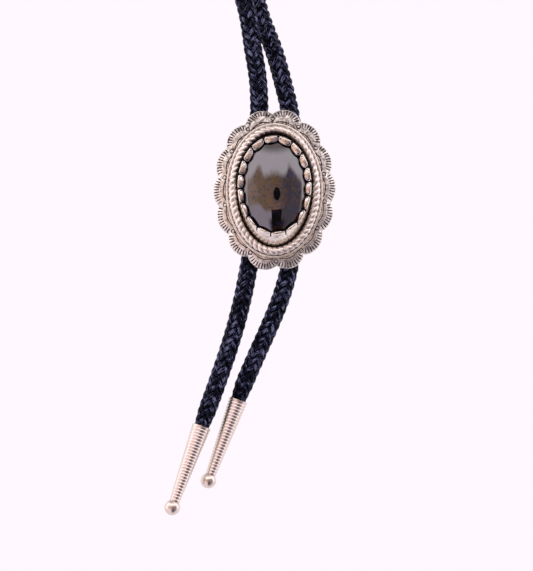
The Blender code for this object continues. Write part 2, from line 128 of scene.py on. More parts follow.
TICK_HALF_WIDTH = 0.21
TICK_DEPTH = 0.17
STAMP_HALVES = (16.2, 23.1)
STAMP_DROP = 0.3
STAMP_RADIUS = 0.58
STAMP_HALF_WIDTH = 0.16
STAMP_DEPTH = 0.15
STAMP_BOSS = 0.05
PLATE_DARKENING = (0.28, 0.38)  # how dark the face is, low on the plate and high on it: darker towards the top
ARC_GAP = 0.62  # between the wire and an arc's ends
ARC_BULGE = 0.55
ARC_HALF_WIDTH = 0.17
ARC_DEPTH = 0.13

# Wire and rope, in millimetres
WIRE_HALVES = (15.16, 21.45)
WIRE_RADIUS = 0.45
WIRE_LIFT = 0.05  # of its middle, off the plate
WIRE_STATIONS = 420
WIRE_SIDES = 20
ROPE_HALVES = (13.42, 19.7)
ROPE_Y = -3.34
ROPE_TURNS = 28
ROPE_OFFSET = 0.31
ROPE_STRAND_RADIUS = 1.04
ROPE_STATIONS_PER_TURN = 32
ROPE_STRAND_SIDES = 20

# Bezel, in millimetres. The wall's section gives heights and how dark the wall is there.
TEETH = 18
COLUMNS_PER_TOOTH = 32
TOOTH_TURN = 0.25  # of a tooth, clockwise from the top to the first cut
SLIT_HALF = 0.1  # of half a tooth
SHOULDER = 4.3
WALL_TOP_HALVES = (11.8, 15.95)
WALL_FOOT_HALVES = (11.75, 17.9)
WALL_TOP_UP = 0.58
WALL_FOOT_UP = -0.7
WALL_SECTION = (
    (-0.3, 1.0), (0.0, 1.0), (0.2, 0.7), (0.36, 0.0), (1.4, 0.0), (2.2, 0.0), (3.2, 0.0),
)
HIDDEN_WALL = ((3.4, 0.5), (1.0, 0.45), (-0.3, 0.45))  # heights and insets, under the stone
RIM_INSET = 0.3
RIM_HEIGHT = 4.62
RIM_ROWS = 28
RIM_REACH = 0.98
RIM_BULGE = 1.02
RIM_TOP_REACH = 0.44
RIM_ON_STONE = 0.55
OVAL_HALVES = (1.03, 0.6)  # of half a tooth, and of the rim's width
OVAL_MIDDLE = 0.44
OVAL_SWELL = 0.24
OVAL_LINE = 0.76  # how far out the line on an oval runs

# Stone, in millimetres
STONE_HALF_WIDTH = 10.85
STONE_STRETCH = 31.2 / 21.7
STONE_CENTRE_UP = -0.02
DOME_RADIUS = 14.663
DOME_TOP = 7.6
DOME_STEPS = 48
STONE_SIDE = ((0.99, 1.8), (0.97, 0.5), (0.95, 0.3))  # shares of the half width, and heights
STONE_STEPS = 160

# Tips, in millimetres
TIP_LENGTH = 30.0
TIP_MOUTH_RADIUS = 3.05
TIP_NECK_RADIUS = 1.65
TIP_BALL_RADIUS = 2.48
TIP_RINGS = 26
TIP_RING_PITCH = 0.985
TIP_RING_STEPS = 8
TIP_LIP = 0.06
TIP_GROOVE = 0.18
TIP_SOCKET_RADII = (2.708, 2.35)
TIP_SOCKET_DEPTH = 6.3
TIP_WAIST_SHARE = 0.86
TIP_BALL_STEPS = 28
TIP_STEPS = 96

# Clip, in millimetres
CLIP_LENGTH = 20.0
CLIP_CORD = 6.1
CLIP_BORE = 3.1
CLIP_TUBE = 3.9
CLIP_BASE = (17.0, 1.2)
CLIP_BASE_FRONT = -1.5
CLIP_BEVEL = 0.35
CLIP_CHAMFER = 0.2
CLIP_STEPS = 64

# Studio, in metres from the slide's centre
FLOOR_DROP = 0.45
FLOOR_HALF = 2.5
LENS_DISTANCE = 1.3
LENS_SHIFT = Vector((0.137, 0.0, 0.1))
LENS_RADII = (0.2, 0.19)
STAND_PLACE = Vector((0.07, -0.6, -0.68))
STAND_SIZE = (0.32, 0.86)


# Lines and meshes

def smoothstep(low, high, value):
    share = np.clip((value - low) / (high - low), 0.0, 1.0)
    return share * share * (3.0 - 2.0 * share)


def unit(vectors):
    return vectors / np.linalg.norm(vectors, axis=-1, keepdims=True)


def route_points(route, spacing, straight_end=0.0):
    """Points a length apart on the smooth curve through a route, in millimetres."""
    points = [Vector(p) + Vector((0.0, CORD_BACK, 0.0)) for p in route]
    padded = [points[0] * 2 - points[1]] + points + [points[-1] * 2 - points[-2]]
    fine = []
    for i in range(1, len(padded) - 2):
        a, b, c, d = padded[i - 1 : i + 3]
        t1 = (b - a).length ** 0.5
        t2 = t1 + (c - b).length ** 0.5
        t3 = t2 + (d - c).length ** 0.5
        for k in range(ROUTE_STEPS):
            share = k / ROUTE_STEPS
            t = t1 + (t2 - t1) * share
            ab = a.lerp(b, t / t1)
            bc = b.lerp(c, share)
            cd = c.lerp(d, (t - t2) / (t3 - t2))
            abc = ab.lerp(bc, t / t2)
            bcd = bc.lerp(cd, (t - t1) / (t3 - t1))
            fine.append(abc.lerp(bcd, share))
    fine.append(points[-1])
    if straight_end:
        fine.append(fine[-1] + (points[-1] - points[-2]).normalized() * straight_end)
    line = np.array(fine)
    length = np.concatenate([[0.0], np.cumsum(np.linalg.norm(np.diff(line, axis=0), axis=1))])
    stations = np.linspace(0.0, length[-1], max(2, math.ceil(length[-1] / spacing)) + 1)
    columns = [np.interp(stations, length, line[:, axis]) for axis in range(3)]
    return np.stack(columns, axis=1), stations


def side_frames(points):
    """Two directions across an open line, which never twist round it."""
    along = unit(np.gradient(points, axis=0))
    first = [FORWARD]
    for here in along:
        last = first[-1]
        across = last - here * np.dot(last, here)
        first.append(across / np.linalg.norm(across))
    first = np.array(first[1:])
    return first, np.cross(along, first)


def round_direction(line):
    """The direction along a closed line, whose last point is its first again."""
    along = unit(np.roll(line[:-1], -1, axis=0) - np.roll(line[:-1], 1, axis=0))
    return np.concatenate([along, along[:1]])


def corners(sides):
    """The angles of a ring's corners, with the first corner again at the end."""
    return TAU * np.arange(sides + 1) / sides


def rings(line, first, second, sides, half_first, half_second):
    """Rows of corners round a line: at each point an ellipse across it, with its half sizes."""
    half_first, half_second = (np.reshape(half, (-1, 1, 1)) for half in (half_first, half_second))
    turn = corners(sides)[None, :, None]
    return (
        line[:, None, :]
        + first[:, None, :] * np.cos(turn) * half_first
        + second[:, None, :] * np.sin(turn) * half_second
    )


def ellipse(half_width, half_height, shares):
    """Points on an upright ellipse at shares of its length, clockwise from the top: X and Z."""
    fine = np.linspace(0.0, TAU, ELLIPSE_POINTS)
    x = half_width * np.sin(fine)
    z = half_height * np.cos(fine)
    length = np.concatenate([[0.0], np.cumsum(np.hypot(np.diff(x), np.diff(z)))])
    angles = np.interp(np.mod(shares, 1.0) * length[-1], length, fine)
    return half_width * np.sin(angles), half_height * np.cos(angles)


def lay_grid(bm, points, **marks):
    """Adds a sheet of squares to bm with its corners on rows of points, in millimetres."""
    rows, columns = points.shape[0] - 1, points.shape[1] - 1
    made = bmesh.ops.create_grid(bm, x_segments=columns, y_segments=rows, size=0.5, calc_uvs=True)
    for vert, point in zip(made["verts"], (points.reshape(-1, 3) * MM).tolist()):
        vert.co = point
    for name, values in marks.items():
        layer = bm.verts.layers.float[name]
        for vert, value in zip(made["verts"], values.reshape(-1).tolist()):
            vert[layer] = value


def new_bmesh(*marks):
    bm = bmesh.new()
    bm.loops.layers.uv.new("UVMap")
    for name in marks:
        bm.verts.layers.float.new(name)
    return bm


def finish_piece(name, bm, material, nodes, uv_scale=None, fill=0, sharp=None):
    """Welds, turns and places a mesh, and makes it a piece that rides on the tie."""
    bmesh.ops.remove_doubles(bm, verts=bm.verts, dist=WELD)
    bmesh.ops.dissolve_degenerate(bm, dist=WELD, edges=bm.edges)
    if fill:
        bmesh.ops.holes_fill(bm, edges=[e for e in bm.edges if e.is_boundary], sides=fill)
    bmesh.ops.recalc_face_normals(bm, faces=bm.faces)
    bmesh.ops.translate(bm, verts=bm.verts, vec=SLIDE_CENTRE)
    mesh = bpy.data.meshes.new(name)
    bm.to_mesh(mesh)
    bm.free()
    mesh.shade_smooth()
    if sharp:
        mesh.set_sharp_from_angle(angle=sharp)
    if uv_scale:
        layer = mesh.uv_layers[0].data
        uv = np.zeros(len(layer) * 2, np.float32)
        layer.foreach_get("uv", uv)
        uv = uv.reshape(-1, 2) * np.array(uv_scale, np.float32)
        layer.foreach_set("uv", uv.reshape(-1))
    mesh.materials.append(material)
    piece = bpy.data.objects.new(name, mesh)
    bpy.context.scene.collection.objects.link(piece)
    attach(piece, "root")
    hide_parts(*nodes)
    return piece


# Materials

def add_node(tree, kind, x, y, values=None, **settings):
    """A new node whose inputs are set to values, or linked to other nodes' outputs."""
    node = tree.nodes.new(kind)
    node.location = (x, y)
    for key, value in settings.items():
        setattr(node, key, value)
    for key, value in (values or {}).items():
        if isinstance(value, bpy.types.NodeSocket):
            tree.links.new(value, node.inputs[key])
        else:
            node.inputs[key].default_value = value
    return node


def math_node(tree, operation, x, y, *values):
    """The result of an operation on numbers or other nodes' outputs."""
    node = add_node(tree, "ShaderNodeMath", x, y, dict(enumerate(values)), operation=operation)
    return node.outputs[0]


def ease(tree, x, y, value, low, high):
    """From 0 at low to 1 at high, smooth at both ends."""
    node = add_node(
        tree, "ShaderNodeMapRange", x, y, {"Value": value, "From Min": low, "From Max": high},
        interpolation_type="SMOOTHSTEP",
    )
    return node.outputs["Result"]


def layer(tree, x, y, mask, under, over, data_type="RGBA"):
    """One colour or number over another where the mask is 1."""
    values = {"Factor": mask, "A": under, "B": over}
    return add_node(tree, "ShaderNodeMix", x, y, values, data_type=data_type).outputs["Result"]


def noise(tree, x, y, place, values):
    return add_node(tree, "ShaderNodeTexNoise", x, y, {"Vector": place, **values}).outputs["Fac"]


def ramp(tree, x, y, value, stops):
    node = add_node(tree, "ShaderNodeValToRGB", x, y, {"Fac": value})
    elements = node.color_ramp.elements
    elements[0].position, elements[0].color = stops[0]
    elements[1].position, elements[1].color = stops[-1]
    for position, colour in stops[1:-1]:
        elements.new(position).color = colour
    return node.outputs["Color"]


def new_group(name, inputs, outputs):
    tree = bpy.data.node_groups.new(name, "ShaderNodeTree")
    for label, kind, value in inputs:
        socket = tree.interface.new_socket(label, in_out="INPUT", socket_type=kind)
        if value is not None:
            socket.default_value = value
    for label, kind in outputs:
        tree.interface.new_socket(label, in_out="OUTPUT", socket_type=kind)
    return tree, add_node(tree, "NodeGroupInput", -1200, 0), add_node(tree, "NodeGroupOutput", 900, 0)


def aged_metal_group():
    """Tarnish in the recesses and in clouds, with painted shade where a piece's attribute adds it, and a
    fine haze and pits over the polish.
    """
    tree, given, out = new_group(
        "aged_metal",
        [
            ("Place", "NodeSocketVector", None),
            ("Clean Colour", "NodeSocketColor", (0.8, 0.74, 0.68, 1.0)),
            ("Tarnish And Shade Colour", "NodeSocketColor", (0.05, 0.035, 0.03, 1.0)),
            ("Tarnish And Shade", "NodeSocketFloat", 0.0),
            ("Clouds", "NodeSocketFloat", 0.3),
            ("Cloud Size", "NodeSocketFloat", 2.0),
            ("Clean Roughness", "NodeSocketFloat", 0.2),
            ("Tarnish And Shade Roughness", "NodeSocketFloat", 0.5),
            ("Pits", "NodeSocketFloat", 0.5),
        ],
        [
            ("Colour", "NodeSocketColor"),
            ("Roughness", "NodeSocketFloat"),
            ("Height", "NodeSocketFloat"),
        ],
    )
    given = given.outputs
    scale = math_node(tree, "DIVIDE", -1000, -300, 1000.0, given["Cloud Size"])
    clouds = noise(
        tree, -800, -250, given["Place"], {"Scale": scale, "Detail": 5.0, "Roughness": 0.6}
    )
    spots = add_node(
        tree, "ShaderNodeMapRange", -600, -250,
        {"Value": clouds, "From Min": 0.45, "From Max": 0.75},
    )
    tint = math_node(tree, "MULTIPLY", -400, -250, spots.outputs["Result"], given["Clouds"])
    ragged = math_node(tree, "MULTIPLY_ADD", -600, 100, clouds, 0.9, given["Tarnish And Shade"])
    edge = ease(tree, -400, 100, ragged, 0.62, 1.05)
    mask = math_node(tree, "MAXIMUM", -200, 0, edge, tint)
    colour = layer(tree, 100, 100, mask, given["Clean Colour"], given["Tarnish And Shade Colour"])
    wear = noise(tree, -800, -600, given["Place"], {"Scale": 2600.0, "Detail": 3.0})
    haze = math_node(tree, "MULTIPLY_ADD", -500, -600, wear, 0.16, -0.08)
    polish = math_node(tree, "ADD", -300, -500, haze, given["Clean Roughness"])
    rough = layer(tree, 100, -300, mask, polish, given["Tarnish And Shade Roughness"], data_type="FLOAT")
    pits = noise(tree, -800, -900, given["Place"], {"Scale": 1400.0, "Detail": 4.0})
    height = math_node(tree, "MULTIPLY", -300, -900, pits, given["Pits"])
    for name, result in (("Colour", colour), ("Roughness", rough), ("Height", height)):
        tree.links.new(result, out.inputs[name])
    return tree


def shaded_material(name, settings):
    material = bpy.data.materials.new(name)
    material.use_nodes = True
    tree = material.node_tree
    shader = tree.nodes["Principled BSDF"]
    shader.location = (600, 0)
    tree.nodes["Material Output"].location = (900, 0)
    for key, value in settings.items():
        shader.inputs[key].default_value = value
    return material, tree, shader


def add_bump(tree, shader, height, distance):
    values = {"Strength": 1.0, "Distance": distance, "Height": height}
    bump = add_node(tree, "ShaderNodeBump", 350, -350, values)
    tree.links.new(bump.outputs["Normal"], shader.inputs["Normal"])


def metal_material(name, group, values, bump):
    """Metal that darkens where the piece's tarnish-and-shade attribute says, for real tarnish and for
    painted shade, aged with the group's values.
    """
    material, tree, shader = shaded_material(name, {"Metallic": 1.0})
    place = add_node(tree, "ShaderNodeTexCoord", -600, 0)
    tarnish_and_shade_attribute = add_node(tree, "ShaderNodeAttribute", -600, -300, attribute_name="stain")
    values = {"Place": place.outputs["Object"], "Tarnish And Shade": tarnish_and_shade_attribute.outputs["Fac"], **values}
    aged = add_node(tree, "ShaderNodeGroup", -200, 0, values, node_tree=group).outputs
    tree.links.new(aged["Colour"], shader.inputs["Base Color"])
    tree.links.new(aged["Roughness"], shader.inputs["Roughness"])
    add_bump(tree, shader, aged["Height"], bump)
    return material


def stone_material():
    """Dark polished stone: brown, clouded with blue-violet."""
    material, tree, shader = shaded_material("dark_stone", {"Roughness": 0.03, "IOR": 2.23})
    place = add_node(tree, "ShaderNodeTexCoord", -1000, 0).outputs["Object"]
    brown = noise(tree, -700, 200, place, {"Scale": 210.0, "Detail": 6.0, "Distortion": 0.6})
    body = ramp(
        tree, -450, 200, brown,
        [
            (0.4, (0.001, 0.0008, 0.0008, 1.0)),
            (0.52, (0.004, 0.002, 0.0015, 1.0)),
            (0.66, (0.03, 0.012, 0.004, 1.0)),
        ],
    )
    blue = noise(tree, -700, -200, place, {"Scale": 420.0, "Detail": 5.0, "Distortion": 0.4})
    black, white = (0.0, 0.0, 0.0, 1.0), (1.0, 1.0, 1.0, 1.0)
    patches = ramp(tree, -450, -200, blue, [(0.55, black), (0.72, white)])
    colour = layer(tree, 0, 100, patches, body, (0.006, 0.008, 0.045, 1.0))
    tree.links.new(colour, shader.inputs["Base Color"])
    return material


def cord_material():
    """Waxed black braid with a blue cast: filaments along each strand, and a painted highlight where a
    strand lies on top.
    """
    material, tree, shader = shaded_material(
        "black_braid", {"Specular IOR Level": 0.11, "Specular Tint": (0.8, 0.86, 1.0, 1.0)}
    )
    uv = add_node(tree, "ShaderNodeUVMap", -1100, 0, uv_map="UVMap").outputs["UV"]
    drawn = add_node(
        tree, "ShaderNodeMapping", -900, 0, {"Vector": uv, "Scale": (4.6, 0.7, 1.0)}
    )
    strand = add_node(tree, "ShaderNodeAttribute", -1100, 200, attribute_name="strand")
    apart = add_node(
        tree, "ShaderNodeVectorMath", -780, 100,
        {0: strand.outputs["Fac"], 1: (0.0, 0.0, 7.3), 2: drawn.outputs["Vector"]},
        operation="MULTIPLY_ADD",
    )
    filaments = noise(
        tree, -650, 0, apart.outputs["Vector"], {"Scale": 1.0, "Detail": 3.0, "Roughness": 0.6}
    )
    place = add_node(tree, "ShaderNodeTexCoord", -1100, -400).outputs["Object"]
    wax = noise(tree, -650, -400, place, {"Scale": 420.0, "Detail": 3.0})
    half = math_node(tree, "MULTIPLY", -500, -200, wax, 0.38)
    blend = math_node(tree, "MULTIPLY_ADD", -500, 100, filaments, 0.62, half)
    # Painted highlight: lighter where a strand passes over another
    over = add_node(tree, "ShaderNodeAttribute", -650, 300, attribute_name="over")
    on_top_highlight = math_node(tree, "MULTIPLY_ADD", -400, 300, over.outputs["Fac"], 0.16, -0.12)
    colour = ramp(
        tree, -300, 100, math_node(tree, "ADD", -350, 250, on_top_highlight, blend),
        [
            (0.48, (0.0, 0.0004, 0.004, 1.0)),
            (0.54, (0.004, 0.006, 0.026, 1.0)),
            (0.6, (0.15, 0.17, 0.3, 1.0)),
        ],
    )
    tree.links.new(colour, shader.inputs["Base Color"])
    rough = add_node(
        tree, "ShaderNodeMapRange", -350, -200, {"Value": wax, "To Min": 0.55, "To Max": 0.3}
    )
    tree.links.new(rough.outputs["Result"], shader.inputs["Roughness"])
    add_bump(tree, shader, filaments, 0.0003)
    return material


# Cord

def braid_grids(bm, centres, stations, shares):
    """Eight strands laid to the right over and under eight to the left, round a dark core."""
    first, second = side_frames(centres)
    turn = TAU * stations / BRAID_LEAD
    crossing = turn * CARRIERS / math.pi
    for hand in (1.0, -1.0):
        for i in range(CARRIERS):
            angle = hand * turn + TAU * i / CARRIERS
            wave = hand * np.cos(math.pi / 2 * (2 * i + hand * crossing - 0.5))
            radius = (BRAID_RADIUS + BRAID_WAVE * wave) * shares
            out = first * np.cos(angle)[:, None] + second * np.sin(angle)[:, None]
            middle = centres + out * radius[:, None]
            side = unit(np.cross(unit(np.gradient(middle, axis=0)), out))
            points = rings(
                middle, side, out, STRAND_SIDES,
                STRAND_HALF_WIDTH * shares, STRAND_HALF_HEIGHT * shares,
            )
            number = np.full(points.shape[:2], i + (CARRIERS if hand < 0 else 0), float)
            over = np.repeat((0.5 + 0.5 * wave)[:, None], STRAND_SIDES + 1, axis=1)
            lay_grid(bm, points, strand=number, over=over)
    radius = CORE_RADIUS * shares[::CORE_STEP]
    line, first, second = (rows[::CORE_STEP] for rows in (centres, first, second))
    lay_grid(bm, rings(line, first, second, CORE_SIDES, radius, radius))


def make_tail(side, material):
    """A free end's braid, which narrows towards its tip's socket, and the line along its middle."""
    centres, stations = route_points(TAIL_ROUTES[side], STATION, SOCKET_STRETCH)
    left = stations[-1] - stations
    shares = CORD_MOUTH_SHARE + (1.0 - CORD_MOUTH_SHARE) * smoothstep(SOCKET_STRETCH, TAPER_START, left)
    inside = np.clip(1.0 - left / SOCKET_STRETCH, 0.0, 1.0)
    shares = shares - (CORD_MOUTH_SHARE - CORD_END_SHARE) * inside
    bm = new_bmesh("strand", "over")
    braid_grids(bm, centres, stations, shares)
    piece = finish_piece(
        f"braid_tail_{side}", bm, material, [f"tail_cord_{side}"],
        uv_scale=(STRAND_UV_WIDTH, stations[-1]), fill=MOST_END_SIDES,
    )
    return piece, centres


def make_neck(material):
    """The neck loop's braid in two halves that meet at the nape."""
    centres, stations = route_points(NECK_ROUTE, STATION)
    half = len(stations) // 2
    for side, part in (("left", slice(0, half + 1)), ("right", slice(half, None))):
        along = stations[part]
        bm = new_bmesh("strand", "over")
        braid_grids(bm, centres[part], along, np.ones(len(along)))
        finish_piece(
            f"braid_neck_{side}", bm, material, ["neck_cord"],
            uv_scale=(STRAND_UV_WIDTH, along[-1] - along[0]), fill=MOST_END_SIDES,
        )


# Slide

def scallop_arcs():
    """Centre, radius, first angle and sweep of each scallop's arc."""
    shares = np.arange(2 * SCALLOPS) / (2 * SCALLOPS)
    x, z = ellipse(CREST_WIDTH / 2, CREST_HEIGHT / 2, shares + SCALLOP_TURN)
    arcs = []
    for k in range(SCALLOPS):
        a = np.array((x[2 * k], z[2 * k])) * VALLEY_SHARE
        b = np.array((x[2 * k + 1], z[2 * k + 1]))
        last = (2 * k + 2) % (2 * SCALLOPS)
        c = np.array((x[last], z[last])) * VALLEY_SHARE
        rows = np.array([b - a, c - a]) * 2
        centre = np.linalg.solve(rows, np.array([b @ b - a @ a, c @ c - a @ a]))
        start, end = a - centre, c - centre
        first = math.atan2(start[1], start[0])
        sweep = (math.atan2(end[1], end[0]) - first + math.pi) % TAU - math.pi
        arcs.append((centre[0], centre[1], float(np.linalg.norm(start)), first, sweep))
    return np.array(arcs)


def groove(distance, half_width):
    """Depth of a round-bottomed groove at a distance from its middle line, from 0 to 1."""
    return np.clip(1.0 - (distance / half_width) ** 2, 0.0, 1.0)


def plate_relief(x, z, arcs):
    """How deep the stamped marks are at points of the plate's face, and how dark."""
    angle_share = np.mod(slide_share(x, z) - SCALLOP_TURN, 1.0)
    scallop = np.floor(angle_share * SCALLOPS).astype(int) % SCALLOPS

    # Short strokes along the scallop's edge
    ox, oz, radius, first, sweep = arcs[scallop].T
    away = np.hypot(x - ox, z - oz)
    turn = np.arctan2(z - oz, x - ox) - (first + sweep / 2)
    turn = (turn + math.pi) % TAU - math.pi
    pitch = np.abs(sweep) / (TICKS + 0.35)
    number = np.clip(np.floor(turn / pitch) + 0.5, -(TICKS - 1) / 2, (TICKS - 1) / 2)
    beside = away * np.abs(turn - number * pitch)
    inside = radius - away
    length = TICK_LENGTH - 0.25 * (number / (TICKS / 2)) ** 2
    ends = smoothstep(TICK_MARGIN - 0.12, TICK_MARGIN + 0.1, inside)
    ends = ends * (1.0 - smoothstep(length + TICK_MARGIN - 0.25, length + TICK_MARGIN + 0.08, inside))
    tick = groove(beside, TICK_HALF_WIDTH) * ends

    # A small ring at each valley
    valley = np.round(angle_share * SCALLOPS) / SCALLOPS
    sx, sz = ellipse(*STAMP_HALVES, valley + SCALLOP_TURN)
    from_stamp = np.hypot(x - sx, z - sz + STAMP_DROP)
    stamp = groove(from_stamp - STAMP_RADIUS, STAMP_HALF_WIDTH)
    clear = smoothstep(STAMP_RADIUS + 0.05, STAMP_RADIUS + 0.25, from_stamp)
    boss = STAMP_BOSS * (1.0 - smoothstep(0.0, STAMP_RADIUS, from_stamp))

    # An arc from ring to ring, just outside the wire
    share = angle_share * SCALLOPS - np.floor(angle_share * SCALLOPS)
    span = np.clip((share - 0.13) / 0.74, 0.0, 1.0)
    reach = ARC_GAP + ARC_BULGE * np.sin(math.pi * span)
    wx, wz = WIRE_HALVES
    up = z + ROPE_DROP
    round_wire = np.hypot(x / wx, up / wz)
    slope = np.hypot(x / wx**2, up / wz**2)
    outside_wire = (round_wire**2 - 1.0) / (2.0 * np.maximum(slope, 1e-6))
    arc = groove(outside_wire - reach, ARC_HALF_WIDTH)
    arc = arc * smoothstep(0.08, 0.16, share) * (1.0 - smoothstep(0.84, 0.92, share))

    depth = np.maximum.reduce([tick * TICK_DEPTH * clear, stamp * STAMP_DEPTH, arc * ARC_DEPTH])
    dark = np.maximum.reduce([tick * clear, stamp, arc])
    beside_wire = 1.0 - smoothstep(0.4, 0.62, outside_wire)
    # The face is darker towards the top of the plate
    low, high = PLATE_DARKENING
    face_darkening = low + (high - low) * smoothstep(2.0, 18.0, z)
    return depth - boss, np.maximum.reduce([dark, beside_wire, face_darkening])


def slide_share(x, z):
    """Where a point stands round the slide: 0 at the top, clockwise, an equal length apart."""
    fine = np.linspace(0.0, TAU, ELLIPSE_POINTS)
    ex = CREST_WIDTH / 2 * np.sin(fine)
    ez = CREST_HEIGHT / 2 * np.cos(fine)
    length = np.concatenate([[0.0], np.cumsum(np.hypot(np.diff(ex), np.diff(ez)))])
    polar = np.unwrap(np.arctan2(ex, ez))
    return np.interp(np.mod(np.arctan2(x, z), TAU), polar, length / length[-1])


def make_plate(material):
    """The plate: a scalloped edge that rises to a flat oval, stamped along each scallop."""
    arcs = scallop_arcs()
    columns = SCALLOPS * COLUMNS_PER_SCALLOP
    index = np.arange(columns + 1) % columns
    scallop = index // COLUMNS_PER_SCALLOP
    step = (index % COLUMNS_PER_SCALLOP) / COLUMNS_PER_SCALLOP
    ox, oz, radius, first, sweep = arcs[scallop].T
    rim_x = ox + radius * np.cos(first + sweep * step)
    rim_z = oz + radius * np.sin(first + sweep * step)
    flat_x, flat_z = ellipse(*FLAT_HALVES, index / columns + SCALLOP_TURN)
    flat_z = flat_z - ROPE_DROP
    run = np.hypot(rim_x - flat_x, rim_z - flat_z)
    rows, stains = [], []

    def add_row(share, depth, scale=1.0, marked=False, stain=0.0):
        x = (rim_x + (flat_x - rim_x) * share) * scale
        z = (rim_z + (flat_z - rim_z) * share + ROPE_DROP) * scale - ROPE_DROP
        y = -PLATE_RISE * np.sin(np.clip(share, 0.0, 1.0) * math.pi / 2) - depth
        dark = np.full(len(x), stain)
        if marked:
            cut, dark = plate_relief(x, z, arcs)
            y = y + cut
        rows.append(np.stack([x, y, z], axis=1))
        stains.append(dark)

    for scale in (0.0, 0.5):
        add_row(np.ones(columns + 1), 0.0, scale, stain=0.35)
    for share in BACK_SHARES:
        add_row(np.full(columns + 1, share), 0.0, stain=0.3)
    for inset, depth in EDGE_SECTION:
        add_row(inset / run, depth)
    for i in range(FRONT_ROWS + 1):
        even = FRONT_INSET / run + (1.0 - FRONT_INSET / run) * i / FRONT_ROWS
        add_row(even, PLATE_THICKNESS, marked=True)
    for scale in HIDDEN_SCALES:
        add_row(np.ones(columns + 1), PLATE_THICKNESS, scale, stain=1.0)
    bm = new_bmesh("stain")
    lay_grid(bm, np.array(rows), stain=np.array(stains))
    finish_piece("plate", bm, material, ["slide_setting"])


def make_wire(material):
    """The plain round wire soldered outside the rope, dark where it meets the plate."""
    x, z = ellipse(*WIRE_HALVES, np.arange(WIRE_STATIONS + 1) / WIRE_STATIONS)
    middle = np.stack([x, np.full(len(x), PLATE_FACE - WIRE_LIFT), z - ROPE_DROP], axis=1)
    outward = np.cross(round_direction(middle), -FORWARD)
    forward = np.broadcast_to(FORWARD, outward.shape)
    points = rings(middle, outward, forward, WIRE_SIDES, WIRE_RADIUS, WIRE_RADIUS)
    low = 1.0 - smoothstep(-0.1, 0.45, np.sin(corners(WIRE_SIDES)))
    bm = new_bmesh("stain")
    lay_grid(bm, points, stain=np.repeat(low[None, :], len(x), axis=0))
    finish_piece("plain_wire", bm, material, ["slide_setting"])


def make_rope(material):
    """Two round strands laid round each other along the oval, dark in the seams between them."""
    count = ROPE_TURNS * ROPE_STATIONS_PER_TURN
    x, z = ellipse(*ROPE_HALVES, np.arange(count + 1) / count)
    middle = np.stack([x, np.full(count + 1, ROPE_Y), z - ROPE_DROP], axis=1)
    outward = np.cross(round_direction(middle), -FORWARD)
    seam = 1.0 - smoothstep(-0.22, 0.02, np.cos(corners(ROPE_STRAND_SIDES)))
    bm = new_bmesh("stain")
    for strand in range(2):
        turn = TAU * ROPE_TURNS * np.arange(count + 1) / count + math.pi * strand
        out = outward * np.cos(turn)[:, None] + FORWARD * np.sin(turn)[:, None]
        line = middle + out * ROPE_OFFSET
        side = unit(np.cross(round_direction(line), out))
        points = rings(line, out, side, ROPE_STRAND_SIDES, ROPE_STRAND_RADIUS, ROPE_STRAND_RADIUS)
        low = smoothstep(PLATE_FACE - 0.1, PLATE_FACE + 0.2, points[:, :, 1])
        lay_grid(bm, points, stain=np.maximum(seam[None, :], low))
    finish_piece("rope", bm, material, ["slide_setting"])


